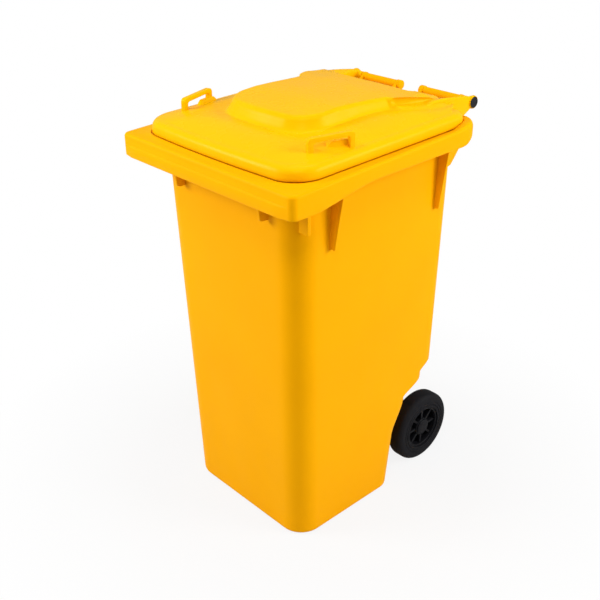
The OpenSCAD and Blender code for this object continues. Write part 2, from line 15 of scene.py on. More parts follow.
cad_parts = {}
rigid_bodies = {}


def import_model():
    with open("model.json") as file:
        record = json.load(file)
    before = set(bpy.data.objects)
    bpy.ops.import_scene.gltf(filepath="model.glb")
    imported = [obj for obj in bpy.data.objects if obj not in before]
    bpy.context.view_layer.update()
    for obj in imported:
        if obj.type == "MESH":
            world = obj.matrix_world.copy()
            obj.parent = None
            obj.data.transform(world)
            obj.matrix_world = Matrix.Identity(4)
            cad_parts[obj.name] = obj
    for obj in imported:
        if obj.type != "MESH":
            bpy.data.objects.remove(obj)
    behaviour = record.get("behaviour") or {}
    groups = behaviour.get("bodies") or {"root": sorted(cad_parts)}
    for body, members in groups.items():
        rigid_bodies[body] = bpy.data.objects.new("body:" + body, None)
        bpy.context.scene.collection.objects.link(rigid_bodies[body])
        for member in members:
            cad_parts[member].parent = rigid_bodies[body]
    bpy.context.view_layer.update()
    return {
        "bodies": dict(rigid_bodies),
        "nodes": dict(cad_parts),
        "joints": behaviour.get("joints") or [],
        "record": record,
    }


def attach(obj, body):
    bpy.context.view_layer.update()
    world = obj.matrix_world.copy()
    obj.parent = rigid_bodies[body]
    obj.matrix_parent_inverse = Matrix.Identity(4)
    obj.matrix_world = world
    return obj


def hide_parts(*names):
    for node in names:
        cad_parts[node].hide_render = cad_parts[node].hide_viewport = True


LOG = logging.getLogger("refuse_bin")
MM = 0.001
# Millimetres from the front lip to the frame's origin
MIDDLE = 350
WHITE = (1, 1, 1, 1)

Point2 = tuple[float, float]
Point3 = tuple[float, float, float]
Colour = tuple[float, float, float]
Ring = list[Vector]
Height = Callable[[Point2], float]
Socket = bpy.types.NodeSocket
Material = bpy.types.Material


class Side(Enum):
    """The two mirror images of a sided piece."""

    LEFT = -1
    RIGHT = 1

    @property
    def label(self) -> str:
        """The side's name as the CAD nodes spell it."""
        return self.name.lower()


# A piece and its mirror image
BOTH = (Side.RIGHT, Side.LEFT)


class Axis(Enum):
    """The direction a flat profile is pushed along."""

    X = 0
    Y = 1
    Z = 2

    def spot(self, p: Point2, t: float) -> Point3:
        """A point of the profile at a distance along the axis."""
        return {Axis.X: (t, *p), Axis.Y: (p[0], t, p[1]), Axis.Z: (*p, t)}[self]


def mix(a: float, b: float, t: float) -> float:
    """Straight blend from a to b."""
    return a + (b - a) * t


def ramp(t: float) -> float:
    """t held between 0 and 1."""
    return max(0, min(1, t))


def ease(t: float) -> float:
    """Smooth step from 0 to 1."""
    c = ramp(t)
    return c * c * (3 - 2 * c)


def place(x: float, d: float, z: float) -> Vector:
    """A point in the row frame.

    Args:
        x: millimetres to the right of the middle.
        d: millimetres behind the front lip.
        z: millimetres above the floor.

    Returns:
        The point in metres.
    """
    return Vector((x * MM, (d - MIDDLE) * MM, z * MM))


def level(plan: Iterable[Point2], height: Height | float, up: float = 0) -> Ring:
    """A ring over a plan, a distance above one height or above a height for each of its points."""
    return [place(*p, up + (height(p) if callable(height) else height)) for p in plan]


def rounded_plan(half: float, front: float, rear: float, r_front: float, r_rear: float,
                 corner: int = 14, side: int = 44, end: int = 26) -> list[Point2]:
    """Rounded rectangle walked anticlockwise from the front right corner.

    Args:
        half: half of the width.
        front: depth of the front edge.
        rear: depth of the rear edge.
        r_front: corner radius at the front.
        r_rear: corner radius at the rear.
        corner: steps in each corner.
        side: steps along each side.
        end: steps along the front and the rear.

    Returns:
        Plan points in millimetres.
    """
    arcs = [
        arc_points(cx, cy, r, start, start + 90, corner)
        for cx, cy, r, start in (
            (half - r_front, front + r_front, r_front, -90),
            (half - r_rear, rear - r_rear, r_rear, 0),
            (r_rear - half, rear - r_rear, r_rear, 90),
            (r_front - half, front + r_front, r_front, 180),
        )
    ]
    plan: list[Point2] = []
    for k, steps in enumerate((side, end, side, end)):
        p, q = arcs[k][-1], arcs[(k + 1) % 4][0]
        plan += arcs[k]
        plan += [(mix(p[0], q[0], i / steps), mix(p[1], q[1], i / steps)) for i in range(1, steps)]
    return plan


def arc_points(cx: float, cy: float, r: float, start: float, stop: float, steps: int) -> list[Point2]:
    """Points of a circle's arc, angles in degrees."""
    turn = [math.radians(mix(start, stop, i / steps)) for i in range(steps + 1)]
    return [(cx + r * math.cos(a), cy + r * math.sin(a)) for a in turn]


def sleeve(a: float, b: float, inner: float, outer: float, along: float, down: float) -> list[Point2]:
    """Section of a ring from a to b, with its outer edges cut off by a length along and one down."""
    return [(a, inner), (a, outer - down), (a + along, outer),
            (b - along, outer), (b, outer - down), (b, inner)]


def add_object(name: str, data: bpy.types.ID) -> bpy.types.Object:
    """A new object, linked to the scene."""
    obj = bpy.data.objects.new(name, data)
    bpy.context.scene.collection.objects.link(obj)
    return obj


class Skin:
    """Collects the closed skins of one piece."""

    def __init__(self) -> None:
        """Starts with nothing in it."""
        self.bm = bmesh.new()

    def add_mesh(self, mesh: bpy.types.Mesh) -> None:
        """Adds the faces of a mesh and deletes it."""
        self.bm.from_mesh(mesh)
        bpy.data.meshes.remove(mesh)

    def loft(self, rows: Sequence[Ring], sides: Iterable[Side] = (Side.RIGHT,), capped: bool = True,
             bevel: float = 0, segments: int = 3) -> None:
        """A closed skin through rows of points.

        Args:
            rows: closed rows of equal length, in metres, where a row of one point is a pole.
            sides: right for the rows as they are, left for their mirror image.
            capped: True for flat ends, False where the last row joins the first.
            bevel: radius of the rounded edges, in millimetres.
            segments: steps in each rounded edge.
        """
        for side in sides:
            part = bmesh.new()
            made = [[part.verts.new((v.x * side.value, v.y, v.z)) for v in row] for row in rows]
            for low, high in zip(made, made[1:] if capped else made[1:] + made[:1]):
                n = max(len(low), len(high))
                for i in range(n):
                    j = (i + 1) % n
                    corners = (low[i % len(low)], low[j % len(low)], high[j % len(high)], high[i % len(high)])
                    # Beside a pole two corners are the same point, and between two poles there is no face
                    face = list(dict.fromkeys(corners))
                    if len(face) > 2:
                        part.faces.new(face)
            if capped:
                part.faces.new(list(reversed(made[0])))
                part.faces.new(made[-1])
            bmesh.ops.recalc_face_normals(part, faces=part.faces[:])
            if bevel:
                edges = [e for e in part.edges if e.calc_face_angle(0) > 0.3]
                bmesh.ops.bevel(part, geom=edges, offset=bevel * MM, segments=segments, profile=0.5,
                                affect="EDGES", clamp_overlap=True)
            mesh = bpy.data.meshes.new("part")
            part.to_mesh(mesh)
            part.free()
            self.add_mesh(mesh)

    def prism(self, profile: Sequence[Point2], axis: Axis, low: float, high: float, bevel: float = 1.4,
              segments: int = 3, sides: Iterable[Side] = BOTH,
              frame: Callable[[float, float, float], Vector] = place) -> None:
        """A flat profile pushed along an axis, with its edges rounded.

        Args:
            profile: points in millimetres: depth and height for X, width and height for Y, plan for Z.
            axis: direction of the push.
            low: first face along the axis.
            high: last face along the axis.
            bevel: radius of the rounded edges.
            segments: steps in each rounded edge.
            sides: right for the prism as it is, left for its mirror image.
            frame: turns the prism's own millimetres into a point in metres.
        """
        rows = [[frame(*axis.spot(p, t)) for p in profile] for t in (low, high)]
        self.loft(rows, sides, bevel=bevel, segments=segments)

    def lathe(self, profile: Sequence[Point2], centre: Point2, steps: int = 64,
              sides: Iterable[Side] = BOTH) -> None:
        """A closed profile turned about an axis along X.

        Args:
            profile: closed list of position along X and radius, in millimetres.
            centre: depth and height of the axis.
            steps: steps round the axis.
            sides: right for the profile as it is, left for its mirror image.
        """
        turn = [math.tau * i / steps for i in range(steps)]
        rows: list[Ring] = []
        for x, r in profile:
            around = turn if r > 0 else turn[:1]
            rows.append([place(x, centre[0] + r * math.cos(a), centre[1] + r * math.sin(a)) for a in around])
        self.loft(rows, sides, capped=False)


class Graph:
    """Adds nodes to a node tree."""

    def __init__(self, tree: bpy.types.NodeTree) -> None:
        """Takes the tree that the nodes go into."""
        self.tree = tree

    def feed(self, node: bpy.types.Node, inputs: dict[str | int, Any]) -> None:
        """Links sockets to a node's inputs, or sets plain values on them.

        Args:
            node: the node.
            inputs: sockets or plain values, by the input's name or number.
        """
        for key, value in inputs.items():
            if isinstance(value, Socket):
                self.tree.links.new(value, node.inputs[key])
            else:
                node.inputs[key].default_value = value

    def node(self, kind: str, inputs: dict[str | int, Any] | None = None, **settings: str) -> bpy.types.Node:
        """A new node.

        Args:
            kind: the node's type.
            inputs: sockets or plain values, by the input's name or number.
            settings: the node's own settings.

        Returns:
            The node.
        """
        node = self.tree.nodes.new(kind)
        for name, value in settings.items():
            setattr(node, name, value)
        self.feed(node, inputs or {})
        return node

    def maths(self, kind: str, a: Socket, b: Socket | float) -> Socket:
        """The result of a sum on two values."""
        return self.node("ShaderNodeMath", {0: a, 1: b}, operation=kind).outputs[0]

    def noise(self, where: Socket, scale: float, detail: float, stretch: Point3 = (1, 1, 1)) -> Socket:
        """A noise texture's value, stretched along the axes."""
        spot = self.node("ShaderNodeMapping", {"Vector": where, "Scale": stretch}).outputs[0]
        return self.node("ShaderNodeTexNoise", {"Vector": spot, "Scale": scale, "Detail": detail}).outputs[0]

    def spread(self, value: Socket, low: float, high: float, start: float = 0.3, stop: float = 0.7) -> Socket:
        """Maps a value from start..stop to low..high."""
        inputs = {"Value": value, "From Min": start, "From Max": stop, "To Min": low, "To Max": high}
        return self.node("ShaderNodeMapRange", inputs).outputs["Result"]

    def blend(self, share: Socket, a: Colour | Socket, b: Colour | Socket) -> Socket:
        """Mixes two colours by a share."""
        a, b = (c if isinstance(c, Socket) else (*c, 1) for c in (a, b))
        # The Mix node has sockets for every type of value, and these numbers are its colours
        return self.node("ShaderNodeMix", {0: share, 6: a, 7: b}, data_type="RGBA").outputs[2]

    def bump(self, height: Socket, strength: float, distance: float, under: Socket | None = None) -> Socket:
        """A bumped normal, on top of another one where given."""
        inputs = {"Height": height, "Strength": strength, "Distance": distance}
        return self.node("ShaderNodeBump", inputs | ({"Normal": under} if under else {})).outputs["Normal"]

    def pick(self, share: Socket, *shaders: bpy.types.Node) -> Socket:
        """Mixes two shaders by a share."""
        inputs = {0: share} | {i: s.outputs[0] for i, s in enumerate(shaders, 1)}
        return self.node("ShaderNodeMixShader", inputs).outputs[0]


def start_material(name: str) -> tuple[Material, Graph, bpy.types.Node, Socket]:
    """Starts a material.

    Args:
        name: the material's name.

    Returns:
        The material, its graph, its shader and a socket of Object coordinates.
    """
    material = bpy.data.materials.new(name)
    material.use_nodes = True
    graph = Graph(material.node_tree)
    where = graph.node("ShaderNodeTexCoord").outputs["Object"]
    return material, graph, graph.tree.nodes["Principled BSDF"], where


@dataclass(frozen=True)
class Finish:
    """A surface finish with its node material."""

    name: str
    colour: Colour
    shade: Colour
    roughness: float
    slot: str


@dataclass(frozen=True)
class MouldedPlastic(Finish):
    """Injection moulded plastic with a fine grain and faint flow marks."""

    gloss: float = 0.22
    sheen: Colour = (1, 1, 1)
    grain: float = 1300
    grain_depth: float = 0.05
    scuff: float = 0.35

    def material(self) -> Material:
        """Builds the material.

        Returns:
            The material with its nodes.
        """
        material, graph, shader, where = start_material(self.name)
        cloud = graph.noise(where, 5, 3)
        flow = graph.noise(where, 22, 4, (1, 1, 0.35))
        tint = graph.blend(graph.spread(cloud, 0, 1), self.colour, self.shade)
        speck = graph.spread(graph.noise(where, 160, 5), 0, self.scuff, 0.62, 0.8)
        worn = tuple(min(1, c * 0.86 + 0.01) for c in self.colour)
        fine = graph.noise(where, self.grain, 2)
        graph.feed(shader, {
            "Base Color": graph.blend(speck, tint, worn),
            "Roughness": graph.spread(flow, self.roughness - 0.05, self.roughness + 0.07),
            "Specular IOR Level": self.gloss,
            "Specular Tint": (*self.sheen, 1),
            "Normal": graph.bump(fine, self.grain_depth, 0.0006, graph.bump(flow, 0.06, 0.002)),
        })
        return material


@dataclass(frozen=True)
class SolidRubber(Finish):
    """Dull black rubber with dusty patches."""

    def material(self) -> Material:
        """Builds the material.

        Returns:
            The material with its nodes.
        """
        material, graph, shader, where = start_material(self.name)
        dust = graph.noise(where, 38, 6)
        graph.feed(shader, {
            "Base Color": graph.blend(graph.spread(dust, 0, 1, 0.35, 0.75), self.colour, self.shade),
            "Specular IOR Level": 0.18,
            "Roughness": graph.spread(dust, self.roughness - 0.1, self.roughness + 0.1),
            "Normal": graph.bump(graph.noise(where, 700, 3), 0.18, 0.0008),
        })
        return material


@dataclass(frozen=True)
class PlatedSteel(Finish):
    """Zinc plated steel with fine drawn lines."""

    lines: Point3 = (1, 1, 1)

    def material(self) -> Material:
        """Builds the material.

        Returns:
            The material with its nodes.
        """
        material, graph, shader, where = start_material(self.name)
        drawn = graph.noise(where, 420, 4, self.lines)
        cloud = graph.noise(where, 30, 4)
        graph.feed(shader, {
            "Base Color": graph.blend(graph.spread(cloud, 0, 1), self.colour, self.shade),
            "Metallic": 1,
            "Roughness": graph.spread(drawn, self.roughness - 0.08, self.roughness + 0.12),
            "Normal": graph.bump(drawn, 0.08, 0.0004),
        })
        return material


class Finishes:
    """The finishes of the bin, each built once."""

    def __init__(self) -> None:
        """Builds every material."""
        specs: list[MouldedPlastic | SolidRubber | PlatedSteel] = [
            MouldedPlastic("bin_yellow", (0.95, 0.42, 0.0005), (0.92, 0.40, 0.0005), 0.4, "bin_plastic",
                           gloss=0.035, sheen=(1, 0.6, 0.04)),
            MouldedPlastic("lid_yellow", (0.94, 0.49, 0.001), (0.91, 0.465, 0.001), 0.26, "lid_plastic",
                           gloss=0.08, sheen=(1, 0.7, 0.1)),
            MouldedPlastic("pin_black", (0.006, 0.006, 0.007), (0.01, 0.01, 0.011), 0.45, "pin_plastic"),
            MouldedPlastic("hub_black", (0.004, 0.004, 0.005), (0.007, 0.007, 0.009), 0.5, "hub_plastic",
                           gloss=0.12),
            MouldedPlastic("cap_black", (0.002, 0.002, 0.003), (0.004, 0.004, 0.006), 0.5, "cap_plastic",
                           gloss=0.14),
            MouldedPlastic("bush_ivory", (0.72, 0.70, 0.62), (0.66, 0.64, 0.56), 0.4, "bush_nylon"),
            SolidRubber("tyre_black", (0.002, 0.002, 0.003), (0.006, 0.006, 0.0085), 0.72, "tyre_rubber"),
            PlatedSteel("axle_zinc", (0.62, 0.63, 0.65), (0.52, 0.53, 0.56), 0.3, "axle_steel",
                        (0.05, 1, 1)),
            PlatedSteel("washer_zinc", (0.65, 0.66, 0.68), (0.55, 0.56, 0.58), 0.34, "washer_steel"),
            PlatedSteel("clip_steel", (0.5, 0.5, 0.52), (0.42, 0.42, 0.45), 0.38, "clip_steel"),
        ]
        self.by_slot = {s.slot: s.material() for s in specs}

    def dress(self, skin: Skin, name: str, body: str, slot: str, *nodes: str, sharp: float = 38) -> None:
        """Makes a piece and ties it to its body, its slot and the CAD nodes it stands for.

        Args:
            skin: the piece's skin.
            name: the piece's name.
            body: the CAD body it moves with.
            slot: the record's material slot.
            nodes: CAD nodes it replaces.
            sharp: angle in degrees above which an edge stays sharp.
        """
        mesh = bpy.data.meshes.new(name)
        skin.bm.to_mesh(mesh)
        skin.bm.free()
        mesh.polygons.foreach_set("use_smooth", [True] * len(mesh.polygons))
        mesh.set_sharp_from_angle(angle=math.radians(sharp))
        mesh.materials.append(self.by_slot[slot])
        obj = add_object(name, mesh)
        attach(obj, body)
        if nodes:
            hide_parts(*nodes)
        LOG.info("%s: %d faces on %s", name, len(mesh.polygons), body)


@dataclass(frozen=True)
class Rim:
    """Heights and plans shared by the rim of the body and the lid."""

    half: float = 290
    front: float = 4
    rear: float = 598
    r_front: float = 17
    r_rear: float = 58
    height: float = 960
    slope: float = 0.05
    seat: float = 963
    seat_slope: float = 0.034
    edge_round: float = 7
    ear_depth: float = 505
    ear_side: float = 215
    ear_rise: float = 6
    ear_inset: float = 9
    ear_round: float = 14
    skirt_low: float = 909
    skirt_lift: float = 30
    skirt_start: float = 40
    skirt_end: float = 260
    skirt_slope: float = 0.02
    skirt_rear_lift: float = 16
    skirt_rear: float = 530
    lip_half: float = 267
    band_clear: float = 9
    band_room: float = 42

    def ear(self, p: Point2) -> float:
        """Share of the raised ear at a plan point."""
        return ease((p[1] - self.ear_depth) / 50) * ease((abs(p[0]) - self.ear_side) / 30)

    def edge_z(self, p: Point2) -> float:
        """Height of the rim's outer edge."""
        return self.height + self.slope * p[1] + self.ear_rise * self.ear(p)

    def seat_z(self, p: Point2) -> float:
        """Height of the seat under the lid."""
        return self.seat + self.seat_slope * p[1]

    def skirt_z(self, p: Point2) -> float:
        """Height of the skirt's lower edge."""
        lift = self.skirt_lift * ease((p[1] - self.skirt_start) / (self.skirt_end - self.skirt_start))
        rise = self.skirt_slope * max(0, p[1] - self.skirt_end)
        return self.skirt_low + lift + rise + self.skirt_rear_lift * ease((p[1] - self.skirt_rear) / 50)

    def band_z(self, p: Point2, up: float) -> float:
        """Height of the front band, lower where the skirt has less room for it."""
        room = min(1, (self.edge_z(p) - self.skirt_z(p) - self.band_clear) / self.band_room)
        return self.skirt_z(p) + up * room

    def edge_ring(self, turn: float) -> Ring:
        """A ring of the rounded upper edge, rounder on the ears.

        Args:
            turn: degrees round the edge, from the outer face.

        Returns:
            The ring in metres.
        """
        out, up = 1 - math.cos(math.radians(turn)), 1 - math.sin(math.radians(turn))
        ring: Ring = []
        for p, q in zip(self.plan(self.edge_round * out), self.plan(self.ear_inset * out)):
            e = self.ear(p)
            drop = mix(self.edge_round, self.ear_round, e) * up
            ring.append(place(mix(p[0], q[0], e), mix(p[1], q[1], e), self.edge_z(p) - drop))
        return ring

    def plan(self, inset: float, lip: float = 0) -> list[Point2]:
        """Plan of the rim.

        Args:
            inset: distance inside the outer face.
            lip: how far the front band stands proud.

        Returns:
            Plan points.
        """
        plan = rounded_plan(self.half - inset, self.front + inset, self.rear - inset,
                            max(4, self.r_front - inset), max(4, self.r_rear - inset))
        return [(x, y - lip * ramp((self.lip_half - abs(x)) / 4) * ease((24 - y) / 8)) for x, y in plan]


@dataclass(frozen=True)
class LidShape:
    """Plan and top surface of the lid."""

    rim: Rim
    half: float = 263
    front: float = 32
    bow: float = 10
    rear: float = 584
    r_front: float = 66
    r_rear: float = 42
    thickness: float = 4
    gap: float = 1
    shoulder: float = 30
    shoulder_inset: float = 22
    panel_half: float = 141
    panel_front: float = 163
    panel_bow: float = 18
    panel_rear: float = 532
    panel_top: float = 1050
    panel_foot: float = 1013
    panel_crown: float = 2
    front_fall: float = 8
    middle_fall: float = 3.3
    rear_fall: float = 4
    rear_slope: float = 0.31
    flank_slope: float = 0.13
    panel_reach: float = 24
    r_panel_front: float = 62
    r_panel_rear: float = 20
    crease: float = 280
    flare_start: float = 430
    flare_width: float = 48
    flare_back: float = 44
    flare_edge: float = 17
    flare_tuck: float = 8
    flare_end: float = 575
    side: int = 90
    seat_side: int = 44

    def plan(self, inset: float, side: int | None = None) -> list[Point2]:
        """Plan of the lid at a distance inside its edge."""
        raw = rounded_plan(self.half - inset, self.front + self.bow + inset, self.rear - inset,
                           self.r_front - inset / 2, self.r_rear - inset / 2, side=side or self.side)
        return [(x, y - self.bow * (1 - (x / self.half) ** 2) * ease((300 - y) / 200)) for x, y in raw]

    def seat_plan(self, inset: float) -> list[Point2]:
        """Plan of the lid with the point count of the body's rings."""
        return self.plan(inset, self.seat_side)

    def panel_plan(self, grow: float) -> list[Point2]:
        """Plan of the raised panel.

        Args:
            grow: distance outside the middle of the panel's sloped sides.

        Returns:
            Plan points, with the bowed front and the flare towards the hinge arms.
        """
        raw = rounded_plan(self.panel_half + grow, self.panel_front + self.panel_bow - 1.4 * grow,
                           self.panel_rear + grow, max(6, self.r_panel_front + grow),
                           max(6, self.r_panel_rear + grow), side=self.side)
        points: list[Point2] = []
        for x, d in raw:
            wide = self.flare_width * ramp((d - self.flare_start) / 120) ** 0.7
            wide += 6 * ramp((d - 290) / 140) ** 2
            bow = self.panel_bow * (1 - (x / self.panel_half) ** 2) * ease((300 - d) / 120)
            back = self.flare_back * ease((d - 480) / 50) * ease((abs(x) - 96) / 30)
            points.append((x * (1 + wide / self.panel_half), d - bow + back))
        return points

    def panel_z(self, p: Point2) -> float:
        """Height of the raised panel's top.

        Args:
            p: plan point.

        Returns:
            Height in millimetres.
        """
        x, d = abs(p[0]), p[1]
        fall = self.front_fall * ramp((self.crease - d) / 100) + self.middle_fall * ramp((d - 330) / 110)
        fall += self.rear_fall * ease((d - 440) / 90) + self.rear_slope * max(0, d - self.panel_rear)
        fall += self.flank_slope * max(0, min(d, 530) - 466) * ease((x - 160) / 29)
        return self.panel_top - fall + self.panel_crown * (1 - min(1, (x / self.panel_half) ** 2))

    def foot_z(self, p: Point2) -> float:
        """Height of the deck at the foot of the raised panel."""
        rise = 10 * ramp((p[1] - self.panel_front) / 180)
        return self.panel_foot + rise - 7 * ease((p[1] - 440) / 100)

    def flare(self, p: Point2) -> float:
        """Share of the flare towards the hinge arms at a plan point."""
        return ease((p[1] - self.flare_start) / 16) * ease((abs(p[0]) - 120) / 25)

    def side_z(self, p: Point2, grow: float, inner: bool) -> float:
        """Height across the panel's sloped sides, with the upright edge of the flare.

        Args:
            p: plan point.
            grow: distance outside the middle of the slope.
            inner: True under the lid, where the flare has no edge.

        Returns:
            Height in millimetres.
        """
        flare, foot, top = self.flare(p), self.foot_z(p), self.panel_z(p)
        if inner:
            return mix(top, foot, ease((grow - mix(-7, -28, flare)) / mix(14, 18, flare)))
        edge = self.flare_edge * flare * ramp((self.flare_end - p[1]) / 100)
        soft = 1 - ease((grow - mix(-11, 0, flare)) / mix(20, 24, flare))
        hard = 1 - ease((grow + 2) / 4)
        return foot + (top - edge - foot) * soft + edge * hard

    def deck_ring(self, t: float, down: float = 0) -> Ring:
        """A ring of the deck between the shoulder and the foot of the panel.

        Args:
            t: 0 at the shoulder, 1 at the foot.
            down: distance below the top surface.

        Returns:
            The ring in metres.
        """
        ring: Ring = []
        for p, q in zip(self.plan(self.shoulder_inset), self.panel_plan(self.panel_reach)):
            z = mix(self.rim.seat_z(p) + self.shoulder, self.foot_z(q), 1 - (1 - t) ** 1.6)
            ring.append(place(mix(p[0], q[0], t), mix(p[1], q[1], t), z - down))
        return ring

    def panel_ring(self, grow: float, down: float = 0) -> Ring:
        """A ring of the raised panel, tucked in under the edge of the flare.

        Args:
            grow: distance outside the middle of the slope.
            down: distance below the top surface.

        Returns:
            The ring in metres.
        """
        ring: Ring = []
        for p in self.panel_plan(grow):
            tuck = 0
            if down == 0:
                tuck = self.flare_tuck * self.flare(p) * ramp((self.flare_end - p[1]) / 60)
                tuck *= ease((grow + 2) / 2) * ease((9 - grow) / 6)
            ring.append(place(p[0] - math.copysign(tuck, p[0]), p[1], self.side_z(p, grow, down > 0) - down))
        return ring


@dataclass
class BinBody:
    """The moulded body: walls with the wheel arch, rim, seat of the lid and inside."""

    rim: Rim
    lid: LidShape
    finishes: Finishes
    wall: float = 4
    floor: float = 6
    foot_half: float = 212
    neck_half: float = 233
    foot_front: float = 98
    neck_front: float = 66
    rear_wall: float = 582
    r_front: float = 62
    r_rear: float = 43
    foot_radius: float = 12
    wall_top: float = 900
    ledge: float = 6
    skirt: float = 4
    lip: float = 4
    upstand: float = 14
    upstand_gap: float = 8
    groove: float = 2.6
    arch_top: float = 360
    apron_top: float = 150
    apron_step: float = 14
    # Upper height, lower height and step inward of the shelf, the arch and the apron
    arch: tuple[Point3, ...] = ((345, 316, 32), (300, 262, 61), (262, 150, 38))

    def half_at(self, z: float) -> float:
        """Half of the width at a height."""
        return mix(self.foot_half, self.neck_half, z / self.wall_top)

    def front_at(self, z: float) -> float:
        """Depth of the front wall at a height."""
        return mix(self.foot_front, self.neck_front, z / self.wall_top)

    def rear_at(self, z: float) -> float:
        """Depth of the rear wall at a height, with the wheel arch."""
        stepped = sum(step * ease((high - z) / (high - low)) for high, low, step in self.arch)
        return self.rear_wall - stepped - self.apron_step * ramp((self.apron_top - z) / self.apron_top)

    def wall_plan(self, z: float, inset: float) -> list[Point2]:
        """Plan of the walls at a height."""
        return rounded_plan(self.half_at(z) - inset, self.front_at(z) + inset, self.rear_at(z) - inset,
                            self.r_front - inset, self.r_rear - inset)

    def under(self, p: Point2) -> float:
        """Height of the underside of the rim's ledge."""
        return self.rim.seat_z(p) - self.ledge

    def groove_z(self, p: Point2) -> float:
        """Height of the floor of the groove under the lid's edge."""
        return self.rim.seat_z(p) - self.groove

    def levels(self, step: float) -> list[float]:
        """Heights of the wall rings, close together in the wheel arch."""
        count = round((self.arch_top - self.foot_radius) / step)
        low = [mix(self.foot_radius, self.arch_top, i / count) for i in range(count + 1)]
        return low + [mix(self.arch_top, self.wall_top, i / 8) for i in range(1, 9)]

    def outside(self) -> list[Ring]:
        """Rings from the floor up the outside of the walls to the ledge.

        Returns:
            The rings in metres.
        """
        r, top = self.foot_radius, self.wall_top
        rings = [level(self.wall_plan(r, r - y), r - x) for x, y in arc_points(0, 0, r, 0, 75, 5)]
        rings += [level(self.wall_plan(z, 0), z) for z in self.levels(5.8)]
        neck = ((0, -16), (0, -5), (-1.5, -1.5), (-5, 0))
        return rings + [level(self.wall_plan(top, inset), self.under, up) for inset, up in neck]

    def over_rim(self) -> list[Ring]:
        """Rings down the inside of the skirt, round its foot and up over the rim's edge.

        Returns:
            The rings in metres.
        """
        rim, skirt, lip = self.rim, self.skirt, self.lip
        hidden = ((4, 0), (1, -1), (0, -4))
        foot = ((skirt, 0, 1.2), (skirt - 0.8, 0, 0), (1.2, lip, 0), (0.3, lip, 0.5), (0, lip, 1.8))
        band = ((lip, 12), (lip, 24), (lip - 0.6, 25.6), (0.6, 26.8), (0, 28))
        rings = [level(rim.plan(skirt + inset), self.under, up) for inset, up in hidden]
        rings += [level(rim.plan(inset, proud), rim.skirt_z, up) for inset, proud, up in foot]
        rings += [level(rim.plan(0, proud), partial(rim.band_z, up=up)) for proud, up in band]
        return rings + [rim.edge_ring(turn) for turn in (0, 20, 40, 60, 75, 90)]

    def seat(self) -> list[Ring]:
        """Rings from the rim's edge over the groove, the lid's seat and the upstand.

        Returns:
            The rings in metres.
        """
        rim, plan, wall, top = self.rim, self.lid.seat_plan, self.wall, self.wall_top
        edge = self.lid.thickness + self.upstand_gap
        rings = [
            level(plan(-6), lambda p: mix(rim.seat_z(p), rim.edge_z(p), 0.3 + 0.6 * rim.ear(p))),
            level(plan(-3), lambda p: mix(rim.seat_z(p) + 0.4, rim.edge_z(p), 0.93 * rim.ear(p))),
            level(plan(-1.6), lambda p: mix(self.groove_z(p), rim.edge_z(p) - 1, 0.9 * rim.ear(p))),
            level(plan(-1), lambda p: self.groove_z(p) + 5 * rim.ear(p)),
            level(plan(edge - 2), self.groove_z),
        ]
        upstand = [(0, 2)] + arc_points(2, self.upstand - 2, 2, 180, 0, 6) + [(wall, 6), (wall + 2, 3)]
        rings += [level(plan(edge + inset), rim.seat_z, up) for inset, up in upstand]
        neck = ((wall - 1, 5), (wall, 1))
        return rings + [level(self.wall_plan(top, inset), self.under, up) for inset, up in neck]

    def inside(self) -> list[Ring]:
        """Rings down the inside of the walls to the floor.

        Returns:
            The rings in metres.
        """
        rings = [level(self.wall_plan(z, self.wall), z + self.wall) for z in reversed(self.levels(11.6))]
        foot = self.foot_radius + self.wall
        for x, y in arc_points(0, 0, 1, 15, 90, 5):
            plan = self.wall_plan(self.foot_radius, self.wall + 8 * (1 - x))
            rings.append(level(plan, foot - (foot - self.floor) * y))
        return rings

    def build(self) -> None:
        """Builds and registers the shell."""
        skin = Skin()
        skin.loft(self.outside() + self.over_rim() + self.seat() + self.inside())
        self.finishes.dress(skin, "bin_shell", "bin", "bin_plastic", "bin_body", sharp=50)


